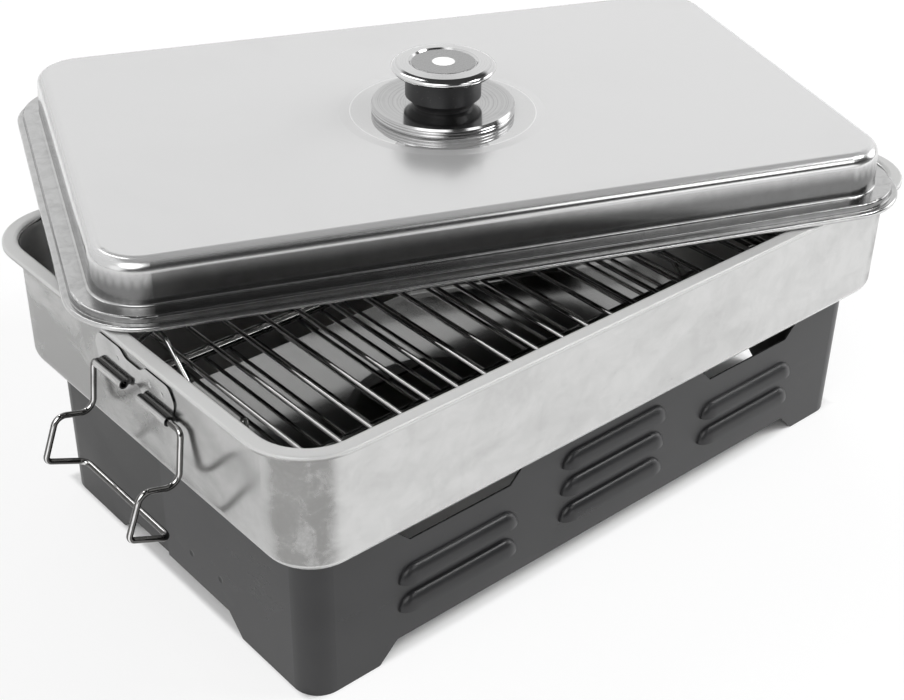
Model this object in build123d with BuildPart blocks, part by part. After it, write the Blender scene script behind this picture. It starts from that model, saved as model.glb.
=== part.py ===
"""Stovetop smoker box: a drawn steel tray with a lid, on a louvred stand with two spirit burners.

Millimetres, +Z up. X runs along the box and Y runs to the back. Every piece is drawn from the
middle of the stand and written from the origin, which is on the ground under the middle of the
box that bounds the whole object. The lid lies on the tray's rim, turned and pushed back, as it
stands while the box is being loaded, and both carrying handles hang down.
"""
import os
from math import cos, radians, sin

from build123d import *

os.makedirs("parts", exist_ok=True)

# ---------------------------------------------------------------- driving dimensions
origin_x = 14.53              # from the middle of the stand
origin_y = 53.2

# stand: two alike U-shaped sheets, lapped at the ends
stand_length = 380.0
stand_width = 222.0
stand_height = 82.0
stand_sheet = 1.0
stand_bend = 14.0             # outer radius of the upright bends
lap_outer = 9.0               # how far the outer sheet of a lap reaches past the middle
lap_inner = 50.0              # how far the inner sheet of a lap reaches past the middle
foot_length = 39.0            # along the long sides, from the corner
foot_width = 56.0             # along the ends, from the corner
foot_height = 10.6
vent_spacing = 102.0          # middle of the stand to the middle of a top vent
vent_width = 61.5             # at its lower edge
vent_sill = 66.8              # height of its lower edge
louvre_length = 73.0
louvre_rise = 8.5             # height of a hood over its cut
louvre_depth = 4.6            # how far a hood stands out
louvre_columns = 103.0
louvre_rows = (27.2, 43.8, 60.2)
weld_places = (-14.0, -39.0)  # spot welds that hold a lap, across the stand
weld_height = 26.5
weld_ball = 6.0               # radius of the electrode's tip
weld_depth = 0.35

# smoke tray
tray_length = 404.0           # outside of the wall
tray_width = 246.6
tray_height = 69.0
tray_sheet = 0.8
tray_corner = 25.0            # plan radius of the wall
tray_foot_bend = 8.5          # outer radius between the wall and the floor
flange_width = 8.0            # from the wall to the outer edge of the rim
flange_bend = 3.0
flange_hem = 2.2              # height of the turned-down edge

# lid
lid_length = 432.4            # over the rolled rim
lid_width = 276.4
lid_corner = 38.4
lid_sheet = 0.8
lid_height = 28.7
lid_pad_radius = 49.5         # of the flat pad pressed up under the knob
lid_pad_slope = 5.5           # width of its sloping edge
lid_pad_rise = 0.45
lid_turn = -21.9              # degrees, seen from above
lid_place_x = 24.8
lid_place_y = 53.2
lid_gap = 0.2                 # under the rolled rim, where it lies on the tray
rim_roll = 1.5                # radius of the rolled edge
step_inset = 3.6              # outer edge to the step under the ledge
ledge_height = 6.6            # top of the ledge over the rim's underside
dome_inset = 12.8             # outer edge to the foot of the dome
dome_lean = 1.2
dome_bend = 6.5

# knob
knob_shift_x = -3.0           # from the middle of the lid, along its own sides
knob_shift_y = -9.0
knob_base_radius = 38.0
knob_base_height = 5.4
knob_base_dish = 1.4          # depth of the dish in its top
knob_grooves = (2.0, 3.6)     # heights of the grooves round its edge
knob_groove_depth = 0.5
knob_foot_radius = 16.0
knob_collar_radius = 20.1
knob_collar_start = 9.2       # height of the collar's lower edge over the lid
knob_cap_start = 22.6
knob_cap_radius = 27.4
knob_cap_lip = 3.5            # from the cap's edge to its upper rim
knob_height = 27.6
medallion_radius = 17.3
medallion_recess = 1.0
medallion_sheet = 0.6
medallion_gap = 0.4
screw_radius = 2.5            # M5
screw_clearance = 0.25        # radial, in the lid and the washer
screw_fit = 0.05              # radial, in the neck
screw_tip_gap = 1.0           # from the screw's end to the end of its hole
screw_hole_roof = 4.0         # neck left over the screw's hole
screw_head_radius = 4.8
screw_head_height = 3.2
cross_slot = (6.0, 1.1, 1.6)  # length, width and depth of the slots in the head
washer_radius = 9.0
washer_sheet = 1.0

# carrying handles: wire bails in rolled barrels
wire_radius = 1.5
bail_span = 75.0              # between the arms, axis to axis
bail_shift = -3.2             # the bail hangs a little to the front in its barrels
pin_length = 22.0             # of each bail end, inside its barrel
barrel_length = 24.0
barrel_gap = 14.0
barrel_clearance = 0.06       # radial, around the wire
barrel_radius = 2.4
bracket_sheet = 0.8
pivot_rise = 38.6             # over the underside of the tray
bracket_rise = 17.0           # top of the lobes over the pivot
bracket_waist = 13.6
bracket_cut = 4.0             # lower edge between the barrels, over the pivot
bracket_slope = 5.0           # along the edge, from the waist to the top of a lobe
bracket_corner = (4.0, 7.0)   # width and height of a lobe's bevelled outer corner
bracket_tuck = 3.0            # from the cut to the start of a barrel
bracket_overlap = 3.0         # how far a lobe is wider than its barrel
bracket_bends = (5, 5, 5, 5, 0.5, 0.5, 2)
bracket_welds = (14.0, 24.0)  # spot welds of a lobe, from the middle of the bracket
bracket_weld_rise = 10.0      # over the pivot
bracket_weld_depth = 0.15
barrel_stand_off = 0.2        # from the wall to a barrel
bail_arm_out = 3.4            # bends of a bail's arm: outwards and down from the pivot
bail_arm_down = 28.2
bail_knee_out = 22.5
bail_knee_down = 22.6
bail_tip_out = 31.0
bail_tip_down = 44.8
bail_grip_out = 10.6
bail_grip_down = 54.0
bail_bends = (3, 6.5, 5.5, 3, 4.5)

# grid
grid_end_gap = 14.5           # from the outside of the tray's wall to the axis of the frame wire
grid_side_gap = 10.3
grid_corner = 20.0
grid_rise = 48.0              # axis of the cross wires over the underside of the tray
grid_wire_radius = 1.25
grid_frame_radius = 1.75
grid_pitch = 16.3             # between the cross wires
grid_leg_spread = 60.0        # half the distance between the legs of an end
grid_loop_place = 6.0         # a loop's middle from the middle of its end of the grid
grid_loop_spread = 4.0        # half the width of a lifting loop at its top
grid_loop_rise = 11.5
grid_loop_splay = 18.0        # how far a loop's ends lean outwards
grid_leg_splay = 4.0
grid_loop_bend = 8.0
grid_leg_bend = 7.0
grid_foot_gap = 0.3           # under the legs
weld_gap = 0.05               # between wires that are welded side by side

# drip tray: a thin flat pan on the tray's floor
drip_end_gap = 6.2            # to the grid's legs
drip_side_gap = 5.8           # to the bend of the tray's wall
drip_sheet = 0.6
drip_corner = 14.0
drip_edge = 2.0               # height of its edge

# spirit burners
burner_spacing = 95.0         # middle of the stand to the axis of a burner
burner_radius = 36.0
burner_height = 32.0
burner_sheet = 0.6
burner_bend = 4.0
burner_mouth_radius = 25.0
burner_plate_radius = 29.0
burner_fill = 22.0            # height of the absorbent core
gauze_thickness = 0.8
slot_inner = 8.0
slot_outer = 23.0
slot_count = 4
slot_sweep = 40.0             # degrees
shutter_radius = 27.0
shutter_lift = 0.1            # running gap under the shutter
tab_length = 13.0
tab_width = 9.0
rivet_radius = 1.6
rivet_clearance = 0.06        # radial, in the shutter
rivet_head_radius = 3.5
rivet_head_height = 1.2
rivet_head_edge = 0.9

# ---------------------------------------------------------------- derived sizes
tray_floor = stand_height
tray_rim = tray_floor + tray_height
pivot_height = tray_floor + pivot_rise
grid_length = tray_length - 2 * grid_end_gap
grid_width = tray_width - 2 * grid_side_gap
grid_level = tray_floor + grid_rise
grid_wires_count = int(grid_length / grid_pitch)
lid_base = tray_rim + lid_gap
lid_plane = Plane(
    origin=(lid_place_x, lid_place_y, lid_base),
    x_dir=(cos(radians(lid_turn)), sin(radians(lid_turn)), 0),
    z_dir=(0, 0, 1),
)
knob_foot = lid_plane.from_local_coords(Vector(knob_shift_x, knob_shift_y, lid_height + lid_pad_rise))
knob_axis = Axis(knob_foot, (0, 0, 1))
knob_section = Plane(origin=knob_foot, x_dir=(1, 0, 0), z_dir=(0, -1, 0))
home = Location((-origin_x, -origin_y, 0))


def ring_path(plane, length, width, corner):
    """A closed rounded rectangle that starts and ends in the middle of its +X side."""
    half_x = length / 2
    half_y = width / 2
    run_x = half_x - corner
    run_y = half_y - corner
    with BuildLine() as path:
        Line((half_x, 0), (half_x, run_y))
        CenterArc((run_x, run_y), corner, 0, 90)
        Line((run_x, half_y), (-run_x, half_y))
        CenterArc((-run_x, run_y), corner, 90, 90)
        Line((-half_x, run_y), (-half_x, -run_y))
        CenterArc((-run_x, -run_y), corner, 180, 90)
        Line((-run_x, -half_y), (run_x, -half_y))
        CenterArc((run_x, -run_y), corner, 270, 90)
        Line((half_x, -run_y), (half_x, 0))
    return plane.from_local_coords(path.wire())


def section_plane(plane, reach):
    """The upright plane that cuts a ring path square at its start, with X outwards."""
    return Plane(
        origin=plane.from_local_coords(Vector(reach, 0, 0)),
        x_dir=plane.x_dir,
        z_dir=plane.y_dir * -1,
    )


# ---------------------------------------------------------------- stand
with BuildPart() as louvre_hood:
    # a quarter of an ellipse, run along the slot and turned into it at both ends
    straight = louvre_length / 2 - louvre_rise
    with BuildSketch(Plane.YZ.offset(-straight)) as hood_section:
        Ellipse(louvre_depth, louvre_rise)
        Ellipse(louvre_depth - stand_sheet, louvre_rise - stand_sheet, mode=Mode.SUBTRACT)
        with Locations((-louvre_depth, louvre_rise)):
            Rectangle(2 * louvre_depth, 2 * louvre_rise, mode=Mode.INTERSECT)
    extrude(amount=2 * straight)
    for side in (-1, 1):
        with BuildSketch(Plane.YZ.offset(side * straight)):
            add(hood_section.sketch_local)
        revolve(axis=Axis((side * straight, 0, 0), (0, side, 0)), revolution_arc=90)

with BuildSketch() as louvre_window:
    SlotOverall(louvre_length - 2 * stand_sheet, 2 * (louvre_rise - stand_sheet))
    with Locations((0, -louvre_rise)):
        Rectangle(louvre_length, 2 * louvre_rise, mode=Mode.SUBTRACT)

louvre_places = [(column, row) for column in (-louvre_columns, louvre_columns) for row in louvre_rows[:2]]
louvre_places += [(0, row) for row in louvre_rows]
half_sheet = stand_sheet / 2
outer_end = stand_length / 2 - half_sheet
inner_end = outer_end - stand_sheet
front_line = stand_width / 2 - half_sheet
vent_rise = stand_height - vent_sill

with BuildPart() as stand_front:
    with BuildSketch():
        with BuildLine() as sheet_line:
            FilletPolyline(
                (-outer_end, lap_outer),
                (-outer_end, -front_line),
                (inner_end, -front_line),
                (inner_end, lap_inner),
                radius=stand_bend - half_sheet,
            )
        trace(line_width=stand_sheet)
    extrude(amount=stand_height)
    # feet at the corners: the lower edge is raised between them
    with BuildSketch(Plane.XZ.offset(stand_width / 2)):
        with BuildLine():
            Polyline(
                (-stand_length / 2 + foot_length, 0),
                (-stand_length / 2 + foot_length + foot_height, foot_height),
                (stand_length / 2 - foot_length - foot_height, foot_height),
                (stand_length / 2 - foot_length, 0),
                close=True,
            )
        make_face()
        # vents at the upper edge, where the fumes of the burners leave
        for place in (-vent_spacing, vent_spacing):
            with BuildLine():
                Polyline(
                    (place - vent_width / 2, vent_sill),
                    (place - vent_width / 2 - vent_rise, stand_height),
                    (place + vent_width / 2 + vent_rise, stand_height),
                    (place + vent_width / 2, vent_sill),
                    close=True,
                )
            make_face()
        # windows behind the louvres
        with Locations(louvre_places):
            add(louvre_window.sketch)
    extrude(amount=-2 * stand_sheet, mode=Mode.SUBTRACT)
    with BuildSketch(Plane.YZ.offset(-stand_length / 2)):
        with BuildLine():
            Polyline(
                (-stand_width / 2 + foot_width, 0),
                (-stand_width / 2 + foot_width + foot_height, foot_height),
                (stand_width / 2 - foot_width - foot_height, foot_height),
                (stand_width / 2 - foot_width, 0),
                close=True,
            )
        make_face()
    extrude(amount=stand_length, mode=Mode.SUBTRACT)
    with Locations([(column, -stand_width / 2, row) for column, row in louvre_places]):
        add(louvre_hood.part)
    # dimples left by the electrodes on the outer sheet of the lap
    weld_x = -stand_length / 2 - weld_ball + weld_depth
    with Locations([(weld_x, place, weld_height) for place in weld_places]):
        Sphere(weld_ball, rotation=(0, 0, 90), mode=Mode.SUBTRACT)
stand_front.part.label = "stand_front"
export_step(stand_front.part.moved(home), "parts/stand_front.step")

with BuildPart() as stand_back:
    add(stand_front.part.rotate(Axis.Z, 180))
stand_back.part.label = "stand_back"
export_step(stand_back.part.moved(home), "parts/stand_back.step")

# ---------------------------------------------------------------- smoke tray
half_tray_sheet = tray_sheet / 2
wall_reach = tray_length / 2 - half_tray_sheet
tray_base_plane = Plane.XY.offset(tray_floor)
with BuildPart() as smoke_tray:
    # the section of rim, wall and floor edge, swept round the tray
    with BuildSketch(section_plane(tray_base_plane, wall_reach)):
        with BuildLine():
            FilletPolyline(
                (flange_width, tray_height - flange_hem),
                (flange_width, tray_height - half_tray_sheet),
                (0, tray_height - half_tray_sheet),
                (0, half_tray_sheet),
                (-tray_foot_bend - 2, half_tray_sheet),
                radius=(flange_hem / 3, flange_bend, tray_foot_bend - half_tray_sheet),
            )
        trace(line_width=tray_sheet)
    sweep(
        path=ring_path(
            tray_base_plane,
            2 * wall_reach,
            tray_width - tray_sheet,
            tray_corner - half_tray_sheet,
        )
    )
    with BuildSketch(tray_base_plane):
        RectangleRounded(
            tray_length - 2 * tray_foot_bend,
            tray_width - 2 * tray_foot_bend,
            tray_corner - tray_foot_bend,
        )
    extrude(amount=tray_sheet)
smoke_tray.part.label = "smoke_tray"
export_step(smoke_tray.part.moved(home), "parts/smoke_tray.step")

# ---------------------------------------------------------------- handle brackets and bails
wall_x = tray_length / 2
pivot_x = wall_x + barrel_radius + barrel_stand_off
barrel_start = barrel_gap / 2
barrel_end = barrel_start + barrel_length
bracket_top = pivot_height + bracket_rise
bracket_low = pivot_height - barrel_radius / 2
bevel_width, bevel_height = bracket_corner
lobe_start = barrel_start + bevel_width
lobe_end = barrel_end + bracket_overlap
for side, name in ((-1, "left"), (1, "right")):
    with BuildPart() as bracket:
        # a plate with two lobes, spot-welded to the wall
        with BuildSketch(Plane.YZ.offset(side * wall_x)):
            with BuildLine():
                right_half = FilletPolyline(
                    (0, pivot_height + bracket_waist),
                    (lobe_start - bracket_slope, pivot_height + bracket_waist),
                    (lobe_start, bracket_top),
                    (lobe_end - bevel_width, bracket_top),
                    (lobe_end, bracket_top - bevel_height),
                    (barrel_end, bracket_low),
                    (barrel_start, bracket_low),
                    (barrel_start - bracket_tuck, pivot_height + bracket_cut),
                    (0, pivot_height + bracket_cut),
                    radius=bracket_bends,
                )
                mirror(right_half, about=Plane.YZ)
            make_face()
        extrude(amount=side * bracket_sheet)
        # the lower edge is rolled into two barrels
        for place in (barrel_start, -barrel_end):
            with BuildSketch(Plane.XZ.offset(-place)):
                with Locations((side * pivot_x, pivot_height)):
                    Circle(barrel_radius)
            extrude(amount=-barrel_length)
        with BuildSketch(Plane.XZ.offset(-barrel_end - 1)):
            with Locations((side * pivot_x, pivot_height)):
                Circle(wire_radius + barrel_clearance)
        extrude(amount=2 * barrel_end + 2, mode=Mode.SUBTRACT)
        dimple_x = side * (wall_x + bracket_sheet + weld_ball - bracket_weld_depth)
        dimple_level = pivot_height + bracket_weld_rise
        with Locations([(dimple_x, turn * place, dimple_level) for place in bracket_welds for turn in (-1, 1)]):
            Sphere(weld_ball, rotation=(0, 0, 90), mode=Mode.SUBTRACT)
    bracket.part.label = f"handle_bracket_{name}"
    export_step(bracket.part.moved(home), f"parts/handle_bracket_{name}.step")

    with BuildPart() as bail:
        arm = bail_span / 2
        half_route = [
            (side * pivot_x, arm - pin_length, pivot_height),
            (side * pivot_x, arm, pivot_height),
            (side * (pivot_x + bail_arm_out), arm, pivot_height - bail_arm_down),
            (side * (pivot_x + bail_knee_out), arm, pivot_height - bail_knee_down),
            (side * (pivot_x + bail_tip_out), arm, pivot_height - bail_tip_down),
            (side * (pivot_x + bail_grip_out), arm, pivot_height - bail_grip_down),
        ]
        half_route = [(x, y + bail_shift, z) for x, y, z in half_route]
        far_route = [(x, 2 * bail_shift - y, z) for x, y, z in reversed(half_route)]
        with BuildLine() as route:
            FilletPolyline(*half_route, *far_route, radius=bail_bends + bail_bends[::-1])
        with BuildSketch(Plane(origin=route.line @ 0, z_dir=route.line % 0)):
            Circle(wire_radius)
        sweep(path=route.wire())
    bail.part.label = f"handle_{name}"
    export_step(bail.part.moved(home), f"parts/handle_{name}.step")

# ---------------------------------------------------------------- grid
frame_level = grid_level - grid_wire_radius - grid_frame_radius - weld_gap
with BuildPart() as grid_frame:
    frame_plane = Plane.XY.offset(frame_level)
    with BuildSketch(section_plane(frame_plane, grid_length / 2)):
        Circle(grid_frame_radius)
    sweep(path=ring_path(frame_plane, grid_length, grid_width, grid_corner))
grid_frame.part.label = "grid_frame"
export_step(grid_frame.part.moved(home), "parts/grid_frame.step")

with BuildPart() as grid_wires:
    with BuildSketch(Plane.XZ.offset(-grid_width / 2 - grid_frame_radius)):
        with Locations((0, grid_level)):
            with GridLocations(grid_pitch, 0, grid_wires_count, 1):
                Circle(grid_wire_radius)
    extrude(amount=grid_width + 2 * grid_frame_radius)
grid_wires.part.label = "grid_wires"
export_step(grid_wires.part.moved(home), "parts/grid_wires.step")

with BuildPart() as grid_rail:
    # one long wire under the cross wires keeps them from sagging
    rail_reach = grid_length / 2 - grid_frame_radius - weld_gap
    with BuildSketch(Plane.YZ.offset(-rail_reach)):
        with Locations((0, frame_level)):
            Circle(grid_frame_radius)
    extrude(amount=2 * rail_reach)
grid_rail.part.label = "grid_rail"
export_step(grid_rail.part.moved(home), "parts/grid_rail.step")

# legs: under each end a bent wire stands on the tray's floor
leg_x = grid_length / 2 - 2 * grid_frame_radius - weld_gap
leg_foot = tray_floor + tray_sheet + grid_foot_gap + grid_frame_radius
loop_x = grid_length / 2 - grid_frame_radius - grid_wire_radius - weld_gap
for side, name in ((-1, "left"), (1, "right")):
    with BuildPart() as leg:
        with BuildLine(Plane.YZ.offset(side * leg_x)) as route:
            FilletPolyline(
                (-grid_leg_spread, frame_level + grid_frame_radius),
                (-grid_leg_spread - grid_leg_splay, leg_foot),
                (grid_leg_spread + grid_leg_splay, leg_foot),
                (grid_leg_spread, frame_level + grid_frame_radius),
                radius=grid_leg_bend,
            )
        with BuildSketch(Plane(origin=route.line @ 0, z_dir=route.line % 0)):
            Circle(grid_frame_radius)
        sweep(path=route.wire())
    leg.part.label = f"grid_leg_{name}"
    export_step(leg.part.moved(home), f"parts/grid_leg_{name}.step")

    with BuildPart() as loop:
        loop_y = -side * grid_loop_place
        loop_foot = grid_loop_spread + grid_loop_splay
        with BuildLine(Plane.YZ.offset(side * loop_x)) as route:
            FilletPolyline(
                (loop_y - loop_foot, frame_level - grid_frame_radius),
                (loop_y - grid_loop_spread, grid_level + grid_loop_rise),
                (loop_y + grid_loop_spread, grid_level + grid_loop_rise),
                (loop_y + loop_foot, frame_level - grid_frame_radius),
                radius=grid_loop_bend,
            )
        with BuildSketch(Plane(origin=route.line @ 0, z_dir=route.line % 0)):
            Circle(grid_wire_radius)
        sweep(path=route.wire())
    loop.part.label = f"grid_loop_{name}"
    export_step(loop.part.moved(home), f"parts/grid_loop_{name}.step")

# ---------------------------------------------------------------- drip tray
drip_plane = tray_base_plane.offset(tray_sheet)
drip_length = 2 * (leg_x - grid_frame_radius - drip_end_gap)
drip_width = tray_width - 2 * (tray_foot_bend + drip_side_gap)
with BuildPart() as drip_tray:
    with BuildSketch(drip_plane):
        RectangleRounded(drip_length, drip_width, drip_corner)
    extrude(amount=drip_edge)
    with BuildSketch(drip_plane.offset(drip_sheet)):
        RectangleRounded(
            drip_length - 2 * drip_sheet,
            drip_width - 2 * drip_sheet,
            drip_corner - drip_sheet,
        )
    extrude(amount=drip_edge, mode=Mode.SUBTRACT)
drip_tray.part.label = "drip_tray"
export_step(drip_tray.part.moved(home), "parts/drip_tray.step")

# ---------------------------------------------------------------- lid
half_lid_sheet = lid_sheet / 2
lid_reach = lid_length / 2
with BuildPart() as lid_shell:
    with BuildSketch(section_plane(lid_plane, lid_reach)):
        with BuildLine():
            FilletPolyline(
                (-rim_roll, 2 * rim_roll - half_lid_sheet),
                (-step_inset, 2 * rim_roll - half_lid_sheet),
                (-step_inset - 0.4, ledge_height - half_lid_sheet),
                (-dome_inset, ledge_height - half_lid_sheet),
                (-dome_inset - dome_lean, lid_height - half_lid_sheet),
                (-dome_inset - dome_lean - dome_bend - 3, lid_height - half_lid_sheet),
                radius=(0.7, 0.9, 1.6, dome_bend - half_lid_sheet),
            )
        trace(line_width=lid_sheet)
        with Locations((-rim_roll, rim_roll)):
            Circle(rim_roll)
    sweep(path=ring_path(lid_plane, lid_length, lid_width, lid_corner))
    top_inset = dome_inset + dome_lean + dome_bend
    with BuildSketch(lid_plane.offset(lid_height - lid_sheet)):
        RectangleRounded(
            lid_length - 2 * top_inset,
            lid_width - 2 * top_inset,
            lid_corner - top_inset,
        )
    extrude(amount=lid_sheet)
    # the pad pressed up under the knob
    pad_foot = lid_pad_radius + lid_pad_slope
    for level, mode in ((0, Mode.ADD), (-lid_sheet, Mode.SUBTRACT)):
        with BuildSketch(knob_section):
            with BuildLine():
                Polyline(
                    (0, level),
                    (lid_pad_radius, level),
                    (pad_foot, level - lid_pad_rise),
                    (0, level - lid_pad_rise),
                    close=True,
                )
            make_face()
        revolve(axis=knob_axis, mode=mode)
    with BuildSketch(lid_plane.offset(lid_height - 2 * lid_sheet)):
        with Locations((knob_shift_x, knob_shift_y)):
            Circle(screw_radius + screw_clearance)
    extrude(amount=4 * lid_sheet, mode=Mode.SUBTRACT)
lid_shell.part.label = "lid_shell"
export_step(lid_shell.part.moved(home), "parts/lid_shell.step")

# ---------------------------------------------------------------- knob
with BuildPart() as knob_base:
    # a dished steel plate with two grooves round its edge
    with BuildSketch(knob_section):
        with BuildLine():
            Polyline(
                (screw_radius + screw_clearance, 0),
                (knob_base_radius - 1, 0),
                (knob_base_radius, 0.8),
                (knob_base_radius, knob_base_height - 1),
                (knob_base_radius - 0.8, knob_base_height),
                (knob_foot_radius + 2, knob_base_height - knob_base_dish),
                (screw_radius + screw_clearance, knob_base_height - knob_base_dish),
                close=True,
            )
        make_face()
        with Locations([(knob_base_radius, level) for level in knob_grooves]):
            Rectangle(knob_groove_depth * 2**0.5, knob_groove_depth * 2**0.5, rotation=45, mode=Mode.SUBTRACT)
    revolve(axis=knob_axis)
knob_base.part.label = "knob_base"
export_step(knob_base.part.moved(home), "parts/knob_base.step")

neck_start = knob_base_height - knob_base_dish
with BuildPart() as knob_neck:
    # black moulding: a flared foot under a straight collar
    with BuildSketch(knob_section):
        with BuildLine():
            Polyline(
                (0, neck_start),
                (knob_foot_radius, neck_start),
                (knob_foot_radius + 0.6, neck_start + 1.5),
                (knob_collar_radius - 1.2, knob_collar_start - 0.6),
                (knob_collar_radius, knob_collar_start),
                (knob_collar_radius, knob_cap_start),
                (0, knob_cap_start),
                close=True,
            )
        make_face()
    revolve(axis=knob_axis)
    with BuildSketch(Plane(origin=knob_foot).offset(neck_start)):
        Circle(screw_radius + screw_fit)
    extrude(amount=knob_cap_start - neck_start - screw_hole_roof, mode=Mode.SUBTRACT)
knob_neck.part.label = "knob_neck"
export_step(knob_neck.part.moved(home), "parts/knob_neck.step")

with BuildPart() as knob_cap:
    with BuildSketch(knob_section):
        with BuildLine():
            Polyline((0, knob_cap_start), (knob_cap_radius - 1.5, knob_cap_start))
            Spline(
                (knob_cap_radius - 1.5, knob_cap_start),
                (knob_cap_radius, knob_cap_start + 1.8),
                (knob_cap_radius - knob_cap_lip, knob_height - 0.5),
            )
            Polyline(
                (knob_cap_radius - knob_cap_lip, knob_height - 0.5),
                (medallion_radius + 1, knob_height),
                (medallion_radius, knob_height - medallion_recess),
                (0, knob_height - medallion_recess),
                (0, knob_cap_start),
            )
        make_face()
    revolve(axis=knob_axis)
knob_cap.part.label = "knob_cap"
export_step(knob_cap.part.moved(home), "parts/knob_cap.step")

with BuildPart() as knob_disc:
    with BuildSketch(Plane(origin=knob_foot).offset(knob_height - medallion_recess)):
        Circle(medallion_radius - medallion_gap)
    extrude(amount=medallion_sheet)
    fillet(knob_disc.edges().group_by(Axis.Z)[-1], radius=0.4)
knob_disc.part.label = "knob_disc"
export_step(knob_disc.part.moved(home), "parts/knob_disc.step")

with BuildPart() as knob_washer:
    with BuildSketch(Plane(origin=knob_foot).offset(-lid_sheet)):
        Circle(washer_radius)
        Circle(screw_radius + screw_clearance, mode=Mode.SUBTRACT)
    extrude(amount=-washer_sheet)
knob_washer.part.label = "knob_washer"
export_step(knob_washer.part.moved(home), "parts/knob_washer.step")

with BuildPart() as knob_screw:
    # pan head under the washer, shank up into the neck
    head_plane = Plane(origin=knob_foot).offset(-lid_sheet - washer_sheet)
    with BuildSketch(head_plane):
        Circle(screw_head_radius)
    extrude(amount=-screw_head_height)
    fillet(knob_screw.edges().group_by(Axis.Z)[0], radius=screw_head_height / 2)
    slot_length, slot_width, slot_depth = cross_slot
    with BuildSketch(head_plane.offset(-screw_head_height)):
        Rectangle(slot_length, slot_width)
        Rectangle(slot_width, slot_length)
    extrude(amount=slot_depth, mode=Mode.SUBTRACT)
    with BuildSketch(head_plane):
        Circle(screw_radius)
    shank = lid_sheet + washer_sheet + knob_cap_start - screw_hole_roof - screw_tip_gap
    extrude(amount=shank)
knob_screw.part.label = "knob_screw"
export_step(knob_screw.part.moved(home), "parts/knob_screw.step")

# ---------------------------------------------------------------- spirit burners
with BuildSketch() as air_slot:
    # one ring-shaped slot beside the burner's axis
    with BuildLine():
        inner = CenterArc((0, 0), slot_inner, -slot_sweep / 2, slot_sweep)
        outer = CenterArc((0, 0), slot_outer, -slot_sweep / 2, slot_sweep)
        Line(inner @ 0, outer @ 0)
        Line(inner @ 1, outer @ 1)
    make_face()

for side, name in ((-1, "left"), (1, "right")):
    burner_plane = Plane(origin=(side * burner_spacing, 0, 0))
    with BuildPart() as cup:
        with BuildSketch(burner_plane):
            Circle(burner_radius)
        extrude(amount=burner_height)
        fillet(cup.edges().group_by(Axis.Z)[0], radius=burner_bend)
        offset(amount=-burner_sheet, openings=cup.faces().sort_by(Axis.Z)[-1])
        # the mouth is rolled inwards to carry the plate
        with BuildSketch(burner_plane.offset(burner_height - burner_sheet)):
            Circle(burner_radius)
            Circle(burner_mouth_radius, mode=Mode.SUBTRACT)
        extrude(amount=burner_sheet)
    cup.part.label = f"burner_cup_{name}"
    export_step(cup.part.moved(home), f"parts/burner_cup_{name}.step")

    with BuildPart() as core:
        # the absorbent wad that holds the spirit
        with BuildSketch(burner_plane.offset(burner_sheet)):
            Circle(burner_radius - 2 * burner_sheet)
        extrude(amount=burner_fill)
        fillet(core.edges().group_by(Axis.Z)[0], radius=burner_bend)
    core.part.label = f"burner_core_{name}"
    export_step(core.part.moved(home), f"parts/burner_core_{name}.step")

    with BuildPart() as gauze:
        with BuildSketch(burner_plane.offset(burner_sheet + burner_fill)):
            Circle(burner_radius - 2 * burner_sheet)
        extrude(amount=gauze_thickness)
    gauze.part.label = f"burner_gauze_{name}"
    export_step(gauze.part.moved(home), f"parts/burner_gauze_{name}.step")

    with BuildPart() as plate:
        with BuildSketch(burner_plane.offset(burner_height)):
            Circle(burner_plate_radius)
            Circle(rivet_radius, mode=Mode.SUBTRACT)
            with PolarLocations(0, slot_count):
                add(air_slot.sketch, mode=Mode.SUBTRACT)
        extrude(amount=burner_sheet)
    plate.part.label = f"burner_plate_{name}"
    export_step(plate.part.moved(home), f"parts/burner_plate_{name}.step")

    shutter_level = burner_height + burner_sheet + shutter_lift
    with BuildPart() as shutter:
        with BuildSketch(burner_plane.offset(shutter_level)):
            Circle(shutter_radius)
            with Locations((0, -shutter_radius - tab_length / 2 + 1)):
                RectangleRounded(tab_width, tab_length + 2, 2)
            Circle(rivet_radius + rivet_clearance, mode=Mode.SUBTRACT)
            with PolarLocations(0, slot_count):
                add(air_slot.sketch, mode=Mode.SUBTRACT)
        extrude(amount=burner_sheet)
    shutter.part.label = f"burner_shutter_{name}"
    export_step(shutter.part.moved(home), f"parts/burner_shutter_{name}.step")

    with BuildPart() as rivet:
        head_level = shutter_level + burner_sheet + shutter_lift
        with BuildSketch(burner_plane.offset(burner_height - rivet_head_height)):
            Circle(rivet_head_radius)
        extrude(amount=rivet_head_height)
        with BuildSketch(burner_plane.offset(burner_height)):
            Circle(rivet_radius)
        extrude(amount=head_level - burner_height)
        with BuildSketch(burner_plane.offset(head_level)):
            Circle(rivet_head_radius)
        extrude(amount=rivet_head_height)
        fillet(rivet.edges().group_by(Axis.Z)[-1], radius=rivet_head_edge)
    rivet.part.label = f"burner_rivet_{name}"
    export_step(rivet.part.moved(home), f"parts/burner_rivet_{name}.step")
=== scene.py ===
"""Looks of a stovetop smoker box: finishes for every piece, a pale floor, studio light and a camera."""

import logging
import math
from dataclasses import dataclass
from enum import Enum
from typing import Any, Mapping, Sequence, Union

import bpy
from mathutils import Matrix, Vector


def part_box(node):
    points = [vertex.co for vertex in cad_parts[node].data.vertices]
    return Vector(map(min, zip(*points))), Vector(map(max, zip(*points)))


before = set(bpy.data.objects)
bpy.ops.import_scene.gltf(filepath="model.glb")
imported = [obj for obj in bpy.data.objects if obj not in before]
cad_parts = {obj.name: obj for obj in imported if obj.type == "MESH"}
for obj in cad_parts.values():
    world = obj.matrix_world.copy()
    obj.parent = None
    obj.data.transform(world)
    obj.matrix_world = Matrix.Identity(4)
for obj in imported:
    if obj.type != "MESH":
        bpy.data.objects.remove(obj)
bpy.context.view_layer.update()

log = logging.getLogger("smoker_box")

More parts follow.
